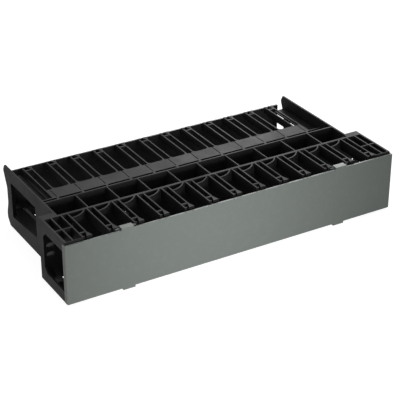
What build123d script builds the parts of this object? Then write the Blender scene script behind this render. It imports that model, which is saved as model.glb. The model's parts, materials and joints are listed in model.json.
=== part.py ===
from build123d import *
import os

# Front and rear horizontal cable manager for a 19 inch rack, two units high.
# Millimetres. The pieces are drawn with Y = 0 at the back of the mounting ears, where
# the rack rails are, and Z = 0 at half height. X runs along the width, the front cover
# faces -Y and +Z is up. Before they are saved, the pieces are moved so that the origin
# lies in the middle of the footprint, on the surface that the manager stands on.

# Overall sizes
panel_width = 482.6        # a 19 inch panel, measured over the ears
height = 87.0              # two rack units, less the usual clearance
front_reach = 78.6         # back of the ears to the face of the front cover
rear_reach = 155.4         # back of the ears to the face of the rear cover

# Mounting wall and ears
ear_width = 19.3
ear_depth = 11.5
ear_skin = 3.0
wall_thickness = 3.5
rack_hole_inset = 8.75     # edge of the panel to the middle of a rack hole
rack_hole_step = 12.7
rack_slot_length = 10.5
rack_slot_width = 7.0
tie_hole_step = 2          # outer finger to the one beside a tie hole
tie_hole_offset = 13.5     # middle of that finger to the middle of the tie hole
tie_hole_drop = 22.4       # top of the manager to the middle of a tie hole
tie_hole_width = 12.0
tie_hole_height = 7.0

# Front fingers
finger_count = 13
finger_width = 10.8
finger_depth = 15.0
finger_wall = 1.7
shallow_side = 5.2         # what is left of the right wall ahead of the web
web_reach = 13.0           # the web between the two walls of a finger
head_gap = 6.0             # face of the front cover to the front of a finger's head
head_length = 9.6
head_half = 8.0            # middle of a finger to the outer tip of its wide prong
head_skin = 2.4
head_depth = 9.0
head_lip = 3.5             # the lip that turns in at the front of the left wall
prong_start = 0.6          # middle of a finger to the inner tip of its wide prong
corner_guide_r = 26.5      # curved guide in the inner corner of a slot
corner_guide_start = 12.5  # mounting wall to where a guide leaves its finger
corner_guide_depth = 8.0

# End blocks of the front duct
end_bay = 24.34            # edge of the panel to the far wall of the outer finger
end_wall = 2.6
rib = 1.8
rib_inset = 11.8           # edge of the panel to the middle rib
front_rib_gap = 3.4        # face of the front cover to the front rib
front_rib_bevel = 1.0      # clears the back of the cover as it turns
gusset_leg = 7.0

# Front cover and its hinges
cover_skin = 2.4
cover_margin = 2.7         # what the cover leaves free above and below
cover_return = 5.0
return_skin = 1.6
return_play = 0.3
cover_edge_round = 0.8
hinge_back = 7.6           # face of the cover to the hinge axis
hinge_inset = 3.4          # top of the manager to the hinge axis
hinge_step = 1.5           # outer finger to the hinge, in finger pitches
tab_width = 16.6
pin_r = 1.5
pin_play = 0.08
pin_length = 5.7           # side of a tab to the end of its pin
mouth_flare = 0.3

# Middle frame: open cells and side arms
cell_count = 10
cell_rib = 1.6
cell_rib_depth = 26.0
cell_depth = 27.6          # back of the ears to the middle wall
cell_wall = 2.2
pass_post = 12.0           # post between the two pass-through windows of a wall
pass_end = 14.0            # side arm to the end of a pass-through window
pass_r = 6.0
arm_gap = 0.2              # between an ear and the side arm behind it
arm_skin = 2.5
arm_tip_gap = 0.4          # face of the rear cover to the tip of an arm
arm_nose = 4.4             # top corner of the arm ahead of its tip
arm_tip_drop = 8.0
arm_waist = 9.9            # face of the rear cover to the waist of an arm
arm_waist_drop = 31.0
arm_waist_low = 10.0       # half height to the lower end of the waist
arm_heel = 5.1             # face of the rear cover to the heel of an arm
arm_heel_rise = 17.5
arm_foot_rise = 9.5
arm_foot = 12.3            # face of the rear cover to the foot of an arm
arm_corner_r = 4.0
window_front = 54.0
window_length = 77.5
window_top = 18.0          # top of the manager to the window
window_foot = 18.0         # underside of the manager to the window's rear corner
window_slope = 6.5
window_corner_r = 2.0
lip_depth = 5.0
lip_skin = 1.8

# Rear duct
rear_drop = 9.7            # top of the manager to the top of the rear duct
rear_gap = 20.2            # middle wall to the wall of the rear duct
rear_wall_skin = 2.2
rear_count = 12
rear_end_bay = 21.02       # side arm to the outer rear finger
rear_finger_width = 12.0
rear_finger_depth = 11.0
rear_shallow_side = 2.4
plate_length = 22.3
plate_skin = 2.2
plate_slit = 1.2
rear_slot_r = 5.0
rear_head_gap = 5.9        # face of the rear cover to the rear of a finger's head
tray_drop = 8.3            # top of the rear duct to the floor of an end tray
tray_gap = 3.7             # outer rear finger to the edge of an end tray
tray_end_gap = 9.4         # face of the rear cover to the rear end of a tray
bridge_width = 3.0

# Rear cover
rear_cover_skin = 2.4
rear_cover_margin = 3.3    # top of the rear duct to the top of its cover
rear_cover_play = 6.3      # between a side arm and the cover
tongue_skin = 2.4
tongue_lap = 6.0           # how far a tongue reaches under a finger's head
tongue_step = 3            # from one finger with a tongue to the next

# Places that follow from the sizes above
panel_half = panel_width / 2
half_height = height / 2
wall_front = -ear_depth
wall_back = wall_front + wall_thickness
ear_inner = panel_half - ear_width
rack_x = panel_half - rack_hole_inset
tie_hole_z = half_height - tie_hole_drop
cover_front = -front_reach
cover_back = cover_front + cover_skin
head_front = cover_front + head_gap
finger_front = head_front + head_length
front_rib_y = cover_front + front_rib_gap
cross_rib_y = (front_rib_y + wall_front) / 2
rib_x = panel_half - rib_inset
outer_finger_x = panel_half - end_bay - finger_width / 2
finger_pitch = 2 * outer_finger_x / (finger_count - 1)
finger_low = half_height - finger_depth
tie_hole_x = outer_finger_x - tie_hole_step * finger_pitch - tie_hole_offset
hinge_y = cover_front + hinge_back
hinge_z = half_height - hinge_inset
hinge_x = outer_finger_x - hinge_step * finger_pitch
pin_end = tab_width / 2 + pin_length
arm_outer = ear_inner - arm_gap
arm_inner = arm_outer - arm_skin
pass_half = half_height - cell_rib_depth
rear_half = half_height - rear_drop
rear_wall_front = cell_depth + cell_wall + rear_gap
plate_front = rear_wall_front + rear_wall_skin
plate_end = plate_front + plate_length
rear_head_end = rear_reach - rear_head_gap
rear_finger_end = rear_head_end - head_length
rear_outer_x = arm_inner - rear_end_bay - rear_finger_width / 2
rear_pitch = 2 * rear_outer_x / (rear_count - 1)
tray_floor = rear_half - tray_drop
tray_underside = tray_floor - plate_skin
tray_inner = rear_outer_x + rear_finger_width / 2 + tray_gap
rear_cover_half = rear_half - rear_cover_margin
footprint_centre = (rear_reach - front_reach) / 2


def block(x, y, z):
    """A box from three (low, high) pairs."""
    size = [high - low for low, high in (x, y, z)]
    centre = [(low + high) / 2 for low, high in (x, y, z)]
    return Pos(*centre) * Box(*size)


def area(x, y):
    """A flat rectangle from two (low, high) pairs."""
    centre = Pos((x[0] + x[1]) / 2, (y[0] + y[1]) / 2)
    return centre * Rectangle(x[1] - x[0], y[1] - y[0])


def from_above(outline, low, high):
    """A flat outline in X and Y, raised from one height to another."""
    return extrude(Pos(0, 0, low) * outline, amount=high - low, dir=(0, 0, 1))


def from_side(outline, low, high):
    """A side outline, drawn as Y and Z, carried across from one X to another."""
    return extrude(Plane.YZ.offset(low) * outline, amount=high - low)


def from_front(outline, front, back):
    """An outline drawn as X and Z, carried from the front to the rear."""
    face = Plane((0, back, 0), x_dir=(1, 0, 0), z_dir=(0, -1, 0)) * outline
    return extrude(face, amount=back - front)


def polygon(points):
    return make_face(Polyline(*points, close=True))


def above_and_below(shape):
    return [shape, mirror(shape, about=Plane.XY)]


def left_and_right(shape):
    return [shape, mirror(shape, about=Plane.YZ)]


def rod(x_low, x_high, y, z, r):
    """A round bar along X."""
    centre = Pos((x_low + x_high) / 2, y, z)
    return centre * Rot(0, 90, 0) * Cylinder(r, x_high - x_low)


def in_a_row(count, pitch):
    """The middles of a row of equal things, centred on X = 0."""
    return [(i - (count - 1) / 2) * pitch for i in range(count)]


def finger(x, width, ends, top, depth, shallow, window):
    """A finger of two thin walls with a lip on the left one and a wide prong on the right one.

    ends are the places along Y of its root, the neck of its head and the tip. The right wall
    is cut away under its top strip along window, a pair of places along Y.
    """
    root, neck, tip = ends
    half = width / 2
    outward = 1 if tip > root else -1
    lip = tip - outward * finger_wall
    skin = neck - outward * head_skin
    plan = polygon([
        (x - half, root), (x - half, tip), (x - half + head_lip, tip), (x - half + head_lip, lip),
        (x - half + finger_wall, lip), (x - half + finger_wall, root),
    ])
    plan += polygon([
        (x + half - finger_wall, root), (x + half - finger_wall, neck), (x + prong_start, tip),
        (x + head_half, tip), (x + half, neck), (x + half, root),
    ])
    plan += area((x - half, x + half), sorted((neck, skin)))
    solid = from_above(plan, top - depth, top)
    under_head = block((x - half, x + head_half), sorted((neck, tip)), (top - depth, top - head_depth))
    right_wall = (x + half - finger_wall, x + half)
    return solid - under_head - block(right_wall, sorted(window), (top - depth, top - shallow))


def front_finger(x):
    """One upper front finger, with the web that closes it from below at its root."""
    ends = (wall_front, finger_front, head_front)
    web_end = wall_front - web_reach
    window = (finger_front + head_skin, web_end)
    body = finger(x, finger_width, ends, half_height, finger_depth, shallow_side, window)
    across = (x - finger_width / 2, x + finger_width / 2)
    return body + block(across, (web_end, wall_front), (finger_low, finger_low + finger_wall))


def corner_guide(x):
    """The curved guide that keeps cables off the inner corner of the slot beside a finger."""
    ring = Circle(corner_guide_r) - Circle(corner_guide_r - finger_wall)
    arc = Pos(0, corner_guide_r - corner_guide_start) * ring
    arc &= area((0, corner_guide_r), (-corner_guide_start, 0))
    outline = Pos(x + finger_width / 2, wall_front) * arc
    return from_above(outline, half_height - corner_guide_depth, half_height)


def pin_mouths():
    """Room for the pins of the upper cover hinges, open to the front."""
    reach = pin_end + pin_play
    r = pin_r + pin_play
    cuts = []
    for x in (-hinge_x, hinge_x):
        across = (x - reach, x + reach)
        mouth = (hinge_z - r - mouth_flare, hinge_z + r + mouth_flare)
        cuts.append(rod(*across, hinge_y, hinge_z, r))
        cuts.append(block(across, (head_front, hinge_y), mouth))
    return cuts


def finger_row():
    """The upper fingers with the curved guides between them and the mouths for the pins."""
    places = in_a_row(finger_count, finger_pitch)
    row = [front_finger(x) for x in places]
    row += [corner_guide(x) for x in places[:-1]]
    cuts = pin_mouths()
    return [solid.cut(*cuts) for solid in row]


def ear():
    """The left mounting ear: a hollow flange with two slotted rack holes."""
    ear_x = (-panel_half, -ear_inner)
    body = block(ear_x, (wall_front, 0), (-half_height, half_height))
    pocket_x = (ear_x[0] + ear_skin, ear_x[1] - ear_skin)
    body -= block(pocket_x, (wall_back, 0), (ear_skin - half_height, half_height - ear_skin))
    slot = SlotOverall(rack_slot_length, rack_slot_width)
    for z in (-rack_hole_step / 2, rack_hole_step / 2):
        body -= from_front(Pos(-rack_x, z) * slot, wall_front, 0)
    return body


def end_block():
    """The upper left end of the duct: two by two open cells beside the first finger."""
    far = -outer_finger_x - finger_width / 2
    grid = area((-panel_half, far), (front_rib_y, wall_front))
    columns = [(-panel_half + end_wall, -rib_x - rib / 2), (-rib_x + rib / 2, far)]
    rows = [(front_rib_y + rib, cross_rib_y - rib / 2), (cross_rib_y + rib / 2, wall_front)]
    for column in columns:
        for row in rows:
            grid -= area(column, row)
    corner = polygon([
        (wall_front, finger_low),
        (wall_front - gusset_leg, finger_low),
        (wall_front, finger_low - gusset_leg),
    ])
    gusset = from_side(corner, -panel_half, -panel_half + end_wall)
    bevel = polygon([
        (front_rib_y, half_height),
        (front_rib_y + front_rib_bevel, half_height),
        (front_rib_y, half_height - front_rib_bevel),
    ])
    cells = from_above(grid, finger_low, half_height) - from_side(bevel, -panel_half, far)
    return [cells, gusset]


def front_duct():
    """Mounting wall, ears, end blocks and both rows of fingers, moulded in one."""
    wall = block((-ear_inner, ear_inner), (wall_front, wall_back), (-half_height, half_height))
    tie_hole = Rectangle(tie_hole_width, tie_hole_height)
    parts = left_and_right(ear())
    for piece in finger_row():
        parts += above_and_below(piece)
    for piece in end_block():
        for side in left_and_right(piece):
            parts += above_and_below(side)
    for x in (-tie_hole_x, tie_hole_x):
        for z in (-tie_hole_z, tie_hole_z):
            wall -= from_front(Pos(x, z) * tie_hole, wall_front, wall_back)
    return wall.fuse(*parts)


def pass_windows(front, back):
    """The pair of long windows through which cables pass from the front to the rear."""
    ends = (pass_post / 2, arm_inner - pass_end)
    outline = fillet(area(ends, (-pass_half, pass_half)).vertices(), pass_r)
    return left_and_right(from_front(outline, front, back))


def arm_outline():
    """Side view of an arm: a pointed tip, a waist and a foot that is cut off at its heel."""
    tip, waist = rear_reach - arm_tip_gap, rear_reach - arm_waist
    heel, foot = rear_reach - arm_heel, rear_reach - arm_foot
    top, low = half_height, -half_height
    outline = polygon([
        (wall_back, low), (wall_back, top), (tip - arm_nose, top), (tip, top - arm_tip_drop),
        (waist, top - arm_waist_drop), (waist, -arm_waist_low), (heel, low + arm_heel_rise),
        (heel, low + arm_foot_rise), (foot, low),
    ])
    bends = outline.vertices().filter_by(lambda v: v.X > foot and abs(v.Y) < top - arm_tip_drop / 2)
    return fillet(bends, arm_corner_r)


def side_arm():
    """The left arm with its pass-through window and the lip behind it, between the end trays."""
    window_end = window_front + window_length
    top, low = half_height - window_top, window_foot - half_height
    window = polygon([
        (window_front, top), (window_end, top), (window_end, low), (window_front, low + window_slope),
    ])
    window = fillet(window.vertices(), window_corner_r)
    arm = from_side(arm_outline() - window, -arm_outer, -arm_inner)
    lip_x = (-arm_outer, -arm_outer + lip_depth)
    lip_z = (-tray_underside, tray_underside)
    return arm + block(lip_x, (window_end, window_end + lip_skin), lip_z)


def middle_frame():
    """Side arms joined by the middle wall, with ribs over and under its windows."""
    wall = block((-arm_inner, arm_inner), (cell_depth, cell_depth + cell_wall), (-half_height, half_height))
    wall = wall.cut(*pass_windows(cell_depth, cell_depth + cell_wall))
    parts = left_and_right(side_arm())
    for x in in_a_row(cell_count - 1, 2 * arm_outer / cell_count):
        thick = (x - cell_rib / 2, x + cell_rib / 2)
        upper = block(thick, (wall_back, cell_depth), (half_height - cell_rib_depth, half_height))
        parts += above_and_below(upper)
    return wall.fuse(*parts)


def rear_finger(x):
    """One upper rear finger, whose walls start under the plate."""
    ends = (plate_front, rear_finger_end, rear_head_end)
    window = (plate_end, rear_finger_end - head_skin)
    return finger(x, rear_finger_width, ends, rear_half, rear_finger_depth, rear_shallow_side, window)


def rear_plate():
    """The flat plates ahead of the rear slots, split over the middle of each finger."""
    reach = rear_outer_x + rear_finger_width / 2
    plate = area((-reach, reach), (plate_front, plate_end + rear_slot_r))
    gap = rear_pitch - rear_finger_width
    for x in in_a_row(rear_count - 1, rear_pitch):
        slot = area((x - gap / 2, x + gap / 2), (plate_end, plate_end + 2 * rear_slot_r))
        plate -= fillet(slot.vertices().sort_by(Axis.Y)[:2], rear_slot_r)
    for x in in_a_row(rear_count, rear_pitch):
        plate -= area((x - plate_slit / 2, x + plate_slit / 2), (plate_front, plate_end))
        hollow = rear_finger_width / 2 - finger_wall
        plate -= area((x - hollow, x + hollow), (plate_end, plate_end + rear_slot_r))
    return from_above(plate, rear_half - plate_skin, rear_half)


def end_tray():
    """The sunk floor beside the left arm, with a gap along the first rear finger."""
    reach = (plate_front, rear_reach - tray_end_gap)
    return block((-arm_inner, -tray_inner), reach, (tray_underside, tray_floor))


def rear_duct():
    """Low wall, plates, end trays, fingers and the bridges that reach the middle wall."""
    wall = block((-arm_inner, arm_inner), (rear_wall_front, plate_front), (-rear_half, rear_half))
    wall = wall.cut(*pass_windows(rear_wall_front, plate_front))
    parts = above_and_below(rear_plate())
    for tray in left_and_right(end_tray()):
        parts += above_and_below(tray)
    for x in in_a_row(rear_count, rear_pitch):
        parts += above_and_below(rear_finger(x))
        bridge = block(
            (x - bridge_width / 2, x + bridge_width / 2),
            (rear_wall_front - rear_gap, rear_wall_front),
            (rear_half - plate_skin, rear_half),
        )
        parts += above_and_below(bridge)
    return wall.fuse(*parts)


def front_cover():
    """Flat front cover with short end returns and four hinge tabs."""
    half = panel_half + return_play + return_skin
    tall = half_height - cover_margin
    face = fillet(Rectangle(2 * half, 2 * tall).vertices(), cover_edge_round)
    parts = []
    for x in (-half, half - return_skin):
        side = (x, x + return_skin)
        parts.append(block(side, (cover_back, cover_back + cover_return), (-tall, tall)))
    for x in (-hinge_x, hinge_x):
        left, right = x - tab_width / 2, x + tab_width / 2
        tab = block((left, right), (cover_front, hinge_y), (hinge_z, half_height))
        tab += rod(left, right, hinge_y, hinge_z, hinge_inset)
        tab += rod(x - pin_end, x + pin_end, hinge_y, hinge_z, pin_r)
        parts += above_and_below(tab)
    return from_front(face, cover_front, cover_back).fuse(*parts)


def rear_cover():
    """Flat rear cover held by tongues that lap under the heads of every third finger."""
    half = arm_inner - rear_cover_play
    inside = rear_reach - rear_cover_skin
    under_head = rear_half - head_depth
    face = fillet(Rectangle(2 * half, 2 * rear_cover_half).vertices(), cover_edge_round)
    parts = []
    for x in in_a_row(rear_count, rear_pitch)[1::tongue_step]:
        tongue = area((x + prong_start, x + head_half), (rear_head_end - tongue_lap, inside))
        parts += above_and_below(from_above(tongue, under_head - tongue_skin, under_head))
    return from_front(face, inside, rear_reach).fuse(*parts)


def save(shape, name):
    shape = Pos(0, -footprint_centre, half_height) * shape
    shape.label = name
    export_step(shape, f"parts/{name}.step")


def main():
    os.makedirs("parts", exist_ok=True)
    save(front_duct(), "front_duct")
    save(middle_frame(), "middle_frame")
    save(rear_duct(), "rear_duct")
    save(front_cover(), "front_cover")
    save(rear_cover(), "rear_cover")


main()
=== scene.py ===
# %% [markdown]
# # A horizontal cable manager in black moulded plastic
# The manager is screwed into a rack and carries cables in two slotted ducts, one ahead of
# the rack rails and one behind them. Everything on it is injection-moulded plastic, so its
# looks come from three things: thin walls with softly rounded edges, a fine matt texture
# that the steel mould left on the plastic, and a front cover that is smoother and greyer
# than the rest. The shapes come finished from the CAD frame; this file gives them
# their finish, the floor, the light and the camera.

# %% Load the frame
import json
import math

import bpy
from mathutils import Euler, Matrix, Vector


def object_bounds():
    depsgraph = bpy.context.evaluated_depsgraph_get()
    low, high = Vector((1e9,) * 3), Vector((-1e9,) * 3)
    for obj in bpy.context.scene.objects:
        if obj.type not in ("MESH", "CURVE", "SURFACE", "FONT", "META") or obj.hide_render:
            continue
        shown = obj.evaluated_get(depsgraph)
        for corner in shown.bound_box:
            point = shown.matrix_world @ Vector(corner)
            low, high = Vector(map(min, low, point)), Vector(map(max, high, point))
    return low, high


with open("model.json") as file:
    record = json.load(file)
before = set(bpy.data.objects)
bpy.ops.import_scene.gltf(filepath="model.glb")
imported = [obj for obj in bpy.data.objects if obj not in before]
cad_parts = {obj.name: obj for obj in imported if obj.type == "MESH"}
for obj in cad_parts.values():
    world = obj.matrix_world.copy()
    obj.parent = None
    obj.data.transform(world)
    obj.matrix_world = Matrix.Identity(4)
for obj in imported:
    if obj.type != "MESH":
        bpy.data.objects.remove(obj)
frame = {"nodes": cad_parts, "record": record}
cad_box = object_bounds()
nodes = frame["nodes"]
print("CAD nodes:", sorted(nodes))
print("CAD box in metres:", [tuple(round(v, 4) for v in corner) for corner in cad_box])

# %% Sizes used throughout
MM = 0.001
part_low, part_high = cad_box
print("width, depth, height in mm:", [round(v / MM, 1) for v in part_high - part_low])

# %% [markdown]
# ## Colours and nodes
# Colours are picked as sRGB hex values, as they would be on a screen, but the
# renderer adds light in linear values. One function turns the first into the second. A
# second one adds a shader node, sets its values and links its inputs in one call, which
# keeps each material short enough to read from top to bottom.

# %% Colour helper
def linear(hex_colour):
    """An sRGB hex colour as the linear RGBA that shaders take."""
    channels = [int(hex_colour[i:i + 2], 16) / 255 for i in (1, 3, 5)]
    light = [c / 12.92 if c <= 0.04045 else ((c + 0.055) / 1.055) ** 2.4 for c in channels]
    return (*light, 1.0)


print("mid grey #808080 is", round(linear("#808080")[0], 3), "in linear light")


# %% Node helper
def add(tree, kind, values=None, links=None, **settings):
    """Adds a node, sets its settings and input values, and links its inputs."""
    node = tree.nodes.new(kind)
    for name, value in settings.items():
        setattr(node, name, value)
    for name, value in (values or {}).items():
        node.inputs[name].default_value = value
    for name, socket in (links or {}).items():
        tree.links.new(socket, node.inputs[name])
    return node


def new_material(name):
    """An empty node material and the tree to fill."""
    material = bpy.data.materials.new(name)
    material.use_nodes = True
    material.node_tree.nodes.clear()
    return material, material.node_tree


def per_metre(size_mm):
    """Texture scale, for coordinates in metres, that makes a feature this many mm across."""
    return 1 / (size_mm * MM)


print("a feature of 1 mm needs a texture scale of", round(per_metre(1)))

# %% [markdown]
# ## Moulded ABS with a spark-eroded texture
# The ducts are black ABS. The steel mould was spark eroded, which leaves a fine, even
# grain of about 0.1 mm. It scatters reflections so widely that the plastic looks matt, and
# its tiny pits swallow part of them, so the mirror part of the shader is set low. The
# plastic flows in from a few gates, so the gloss drifts slowly over some centimetres, and
# handling leaves a few dusty, paler patches. The outer edges are painted paler, partly as the
# polish of handling and partly as a painted highlight along each edge. It could be done with a
# measured texture, but three layers of noise at different real sizes show the same things and
# work on every face without unwrapping. Edges are rounded in the shading alone, by half a
# millimetre at most, because no outline shows that.

# %% Worn edges with a painted highlight
# A fully lightened edge goes this share of the way to its paler colour, which is partly wear and partly
# a painted highlight along the edge.
wear_and_highlight_share = 0.6
# The rounded and the flat normal agree within this cosine on a face with no paler edge, and
# part to the second one where the paler edge is full.
lightening_starts = 0.995
lightening_full = 0.80


def wear_and_highlight_mask(tree, rounded):
    """A socket that is 0 on flat faces and rises at edges, where the normals part."""
    flat = add(tree, "ShaderNodeNewGeometry")
    turn = add(tree, "ShaderNodeVectorMath", operation="DOT_PRODUCT",
               links={0: rounded.outputs["Normal"], 1: flat.outputs["Normal"]})
    edges = add(tree, "ShaderNodeMapRange",
                {"From Min": lightening_starts, "From Max": lightening_full, "To Min": 0.0, "To Max": 1.0},
                {"Value": turn.outputs["Value"]}, clamp=True)
    share = add(tree, "ShaderNodeMath", {1: wear_and_highlight_share}, {0: edges.outputs["Result"]},
                operation="MULTIPLY")
    return share.outputs["Value"]


# The paler edge is partly handling wear and partly a painted highlight.
print("wear starts where an edge turns by", round(math.degrees(math.acos(lightening_starts)), 1), "degrees")

# %% Dust and handling marks
blotch_mm = 6
# The noise value where a patch begins, where it is full, and how much dust that is.
dust_starts = 0.50
dust_full = 0.75
dust_most = 0.55


def dust_patches(tree, place):
    """A socket that is 0 on clean plastic and rises in blotches of dust and handling."""
    marks = add(tree, "ShaderNodeTexNoise",
                {"Scale": per_metre(blotch_mm), "Detail": 6.0, "Roughness": 0.6}, {"Vector": place})
    dust = add(tree, "ShaderNodeMapRange",
               {"From Min": dust_starts, "From Max": dust_full, "To Min": 0.0, "To Max": dust_most},
               {"Value": marks.outputs["Fac"]}, clamp=True)
    return dust.outputs["Result"]


print("dust lies in blotches of about", blotch_mm, "mm")

# %% Gloss that drifts
flow_mm = 45
# The roughness drifts by this much either way, and dust makes it this much rougher.
gloss_drift = 0.06
dust_dulls = 0.10


def drifting_roughness(tree, place, dust, roughness):
    """A socket with the mean roughness, drifting as the plastic flowed and duller under dust."""
    flow = add(tree, "ShaderNodeTexNoise", {"Scale": per_metre(flow_mm), "Detail": 3.0},
               {"Vector": place})
    gloss = add(tree, "ShaderNodeMapRange",
                {"From Min": 0.3, "From Max": 0.7,
                 "To Min": roughness - gloss_drift, "To Max": roughness + gloss_drift},
                {"Value": flow.outputs["Fac"]})
    dulled = add(tree, "ShaderNodeMath", {1: dust_dulls}, {0: dust}, operation="MULTIPLY")
    rough = add(tree, "ShaderNodeMath", links={0: gloss.outputs["Result"], 1: dulled.outputs["Value"]},
                operation="ADD")
    return rough.outputs["Value"]


print("gloss drifts over about", flow_mm, "mm")

# %% Moulded plastic material
abs_ior = 1.53
# 0.5 is the full mirror part of clean plastic; a fifth of it matches the picture, because
# the texture leaves little of it.
abs_specular = 0.10
grain_strength = 0.5


def moulded_plastic(name, colour, dusty, worn_and_highlit, roughness, grain_mm, grain_depth_mm, edge_mm):
    """ABS: its clean, dusty and edge colours, mean roughness, grain and edge radius."""
    material, tree = new_material(name)
    place = add(tree, "ShaderNodeTexCoord").outputs["Object"]
    rounded = add(tree, "ShaderNodeBevel", {"Radius": edge_mm * MM}, samples=6)
    dust = dust_patches(tree, place)
    shade = add(tree, "ShaderNodeMix", {"A": linear(colour), "B": linear(dusty)}, {"Factor": dust},
                data_type="RGBA")
    # Edges go toward the paler edge colour: partly handling wear, partly a painted highlight along every
    # edge.
    tone = add(tree, "ShaderNodeMix", {"B": linear(worn_and_highlit)},
               {"Factor": wear_and_highlight_mask(tree, rounded), "A": shade.outputs["Result"]}, data_type="RGBA")
    # The real grain is 0.1 mm; it is drawn larger so that it shows at all at this size.
    grain = add(tree, "ShaderNodeTexNoise", {"Scale": per_metre(grain_mm), "Detail": 2.0},
                {"Vector": place})
    bump = add(tree, "ShaderNodeBump", {"Strength": grain_strength, "Distance": grain_depth_mm * MM},
               {"Height": grain.outputs["Fac"], "Normal": rounded.outputs["Normal"]})
    surface = add(tree, "ShaderNodeBsdfPrincipled", {"IOR": abs_ior, "Specular IOR Level": abs_specular},
                  {"Base Color": tone.outputs["Result"],
                   "Roughness": drifting_roughness(tree, place, dust, roughness),
                   "Normal": bump.outputs["Normal"]})
    add(tree, "ShaderNodeOutputMaterial", links={"Surface": surface.outputs["BSDF"]})
    return material


print("ABS has an index of refraction of", abs_ior)

# %% [markdown]
# ## Three finishes from one recipe
# The ducts and the frame between them are matt black. The front cover is a flat plate from
# a smoother mould, and it is paler in the picture, so it is a satin grey with a shallower
# grain. The rear cover is a satin black. Each could have a material of its own, but one
# recipe with different values keeps them as alike as they are on the real manager.

# %% The three finishes of the manager
# Each finish's paler edge colour stands for handling wear and for a painted highlight along the edges.
finishes = {
    "body": moulded_plastic("black_textured_abs", colour="#101110", dusty="#191b19", worn_and_highlit="#4c4e4c",
                            roughness=0.62, grain_mm=0.9, grain_depth_mm=0.05, edge_mm=0.35),
    "front_cover": moulded_plastic("satin_grey_abs", colour="#646966", dusty="#6b706d", worn_and_highlit="#7f8481",
                                   roughness=0.40, grain_mm=1.2, grain_depth_mm=0.02, edge_mm=0.5),
    "rear_cover": moulded_plastic("black_satin_abs", colour="#191b1a", dusty="#232523", worn_and_highlit="#505250",
                                  roughness=0.38, grain_mm=1.2, grain_depth_mm=0.03, edge_mm=0.5),
}
for part in frame["record"]["subparts"]:
    finish = finishes[part["material_slot"]]
    mesh = nodes[part["node"]].data
    mesh.materials.clear()
    mesh.materials.append(finish)
    print(part["node"], "gets", finish.name)

# %% [markdown]
# ## Floor and background
# The manager stands on a white studio sweep. A floor that is lit up to pure white would
# throw too much of that light back onto the plastic, so it is a plain grey board for the
# rays that carry diffuse light. The rays that show it, straight to the camera or by way of
# a reflection, see it lifted to white on top of its shading, so that the soft contact
# shadow stays. A small helper picks those rays, for the floor here and for the world below.

# %% Rays that see the background
def for_seeing_rays(tree, unseen, seen):
    """One shader for camera, transmission and glossy rays, and another for all the rest."""
    path = add(tree, "ShaderNodeLightPath")
    clear = add(tree, "ShaderNodeMath", links={0: path.outputs["Is Camera Ray"],
                                               1: path.outputs["Is Transmission Ray"]},
                operation="MAXIMUM")
    sees = add(tree, "ShaderNodeMath", links={0: clear.outputs["Value"],
                                              1: path.outputs["Is Glossy Ray"]}, operation="MAXIMUM")
    choice = add(tree, "ShaderNodeMixShader", links={0: sees.outputs["Value"], 1: unseen, 2: seen})
    return choice.outputs["Shader"]


white = linear("#ffffff")
print("three kinds of ray see the white background: camera, transmission and glossy")

# %% Floor
board_colour = "#8c8c8a"
# What the board lacks to white under these lamps.
lift_to_white = 0.90
floor_half = 6.0


def white_floor(name):
    """White paper with a soft shadow where it is seen, and a mid-grey board for other rays."""
    material, tree = new_material(name)
    board = add(tree, "ShaderNodeBsdfDiffuse", {"Color": linear(board_colour)}).outputs["BSDF"]
    lift = add(tree, "ShaderNodeEmission", {"Color": white, "Strength": lift_to_white})
    paper = add(tree, "ShaderNodeAddShader", links={0: board, 1: lift.outputs["Emission"]})
    shown = for_seeing_rays(tree, board, paper.outputs["Shader"])
    add(tree, "ShaderNodeOutputMaterial", links={"Surface": shown})
    return material


corners = [(-floor_half, -floor_half, 0), (floor_half, -floor_half, 0),
           (floor_half, floor_half, 0), (-floor_half, floor_half, 0)]
floor_mesh = bpy.data.meshes.new("studio_floor")
floor_mesh.from_pydata(corners, [], [(0, 1, 2, 3)])
floor = bpy.data.objects.new("studio_floor", floor_mesh)
bpy.context.scene.collection.objects.link(floor)
floor_mesh.materials.append(white_floor("studio_board"))
print("floor is", 2 * floor_half, "m wide")

# %% [markdown]
# ## World and lamps
# The surroundings are a plain pale room that lights the manager half as brightly as white.
# Black plastic shows mostly what it reflects, so the tops of the walls read as light lines
# because they mirror a soft panel behind the manager, to the right, and grow lighter toward
# it. A small softbox low in front, with a grid that narrows its beam, gives the cover its
# slow gradient: brightest left of the middle, darker to the right. A weak soft lamp overhead
# opens the slots. One big lamp from above would be simpler, but it would light the cover
# evenly, and the picture shows that gradient clearly.

# %% World
room_strength = 0.50
white_strength = 1.0
world = bpy.data.worlds.new("pale_room")
bpy.context.scene.world = world
world.use_nodes = True
sky = world.node_tree
sky.nodes.clear()
room = add(sky, "ShaderNodeBackground", {"Color": white, "Strength": room_strength})
backdrop = add(sky, "ShaderNodeBackground", {"Color": white, "Strength": white_strength})
surroundings = for_seeing_rays(sky, room.outputs["Background"], backdrop.outputs["Background"])
add(sky, "ShaderNodeOutputWorld", links={"Surface": surroundings})
print("room strength", room_strength)


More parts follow.
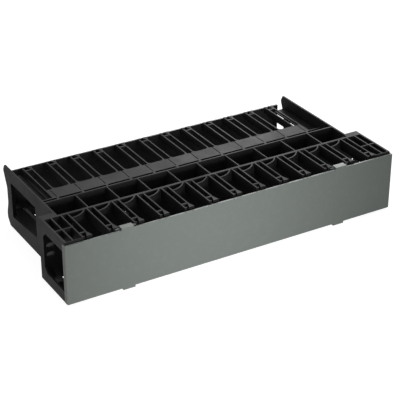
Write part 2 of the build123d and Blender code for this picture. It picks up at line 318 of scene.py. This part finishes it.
# %% Lamps
def soft_lamp(name, place, aim, width, watts, spread=180):
    """A square area lamp that points from one place at another, in metres and degrees."""
    lamp = bpy.data.lights.new(name, "AREA")
    lamp.size = width
    lamp.energy = watts
    lamp.spread = math.radians(spread)
    stand = bpy.data.objects.new(name, lamp)
    stand.location = place
    stand.rotation_euler = (Vector(aim) - Vector(place)).to_track_quat("-Z", "Y").to_euler()
    bpy.context.scene.collection.objects.link(stand)
    print(name, "at", place, "with", watts, "W")


soft_lamp("front_softbox", place=(-0.05, -1.05, 0.22), aim=(-0.06, -0.117, 0.04),
          width=0.25, watts=0.80, spread=46)
soft_lamp("rear_panel", place=(0.80, 0.95, 0.62), aim=(0.12, 0.0, 0.04), width=0.7, watts=16.0)
soft_lamp("overhead_softbox", place=(0.1, 0.3, 1.9), aim=(0.0, 0.0, 0.04), width=1.0, watts=3.0)

# %% [markdown]
# ## Camera
# The picture was taken with a long lens from the front left and above. The distance,
# direction and focal length below come from fitting a camera to about 60 corners of the
# manager, whose width is set by the rack. They could be set by eye instead, but then the
# two ends would not meet the picture's at the same time. A long lens keeps the far end
# nearly as large as the near one.

# %% Camera
sensor_mm = 36.0
photo_lens_mm = 116.95
sees_as_far_as = 50
view_azimuth = math.radians(-30.77)
view_elevation = math.radians(28.38)
view_roll = math.radians(0.11)
view_distance = 1.7103
view_target = Vector((-0.0110, -0.0384, 0.0470))
toward_camera = Vector((
    math.sin(view_azimuth) * math.cos(view_elevation),
    -math.cos(view_azimuth) * math.cos(view_elevation),
    math.sin(view_elevation),
))
lens = bpy.data.cameras.new("photo_camera")
lens.sensor_width = sensor_mm
lens.lens = photo_lens_mm
lens.clip_end = sees_as_far_as
camera = bpy.data.objects.new("photo_camera", lens)
camera.location = view_target + view_distance * toward_camera
facing = (-toward_camera).to_track_quat("-Z", "Y").to_matrix()
camera.rotation_euler = (facing @ Euler((0, 0, view_roll)).to_matrix()).to_euler()
bpy.context.scene.collection.objects.link(camera)
bpy.context.scene.camera = camera
bpy.context.scene.view_settings.view_transform = "Standard"
print("camera at", [round(v, 3) for v in camera.location])
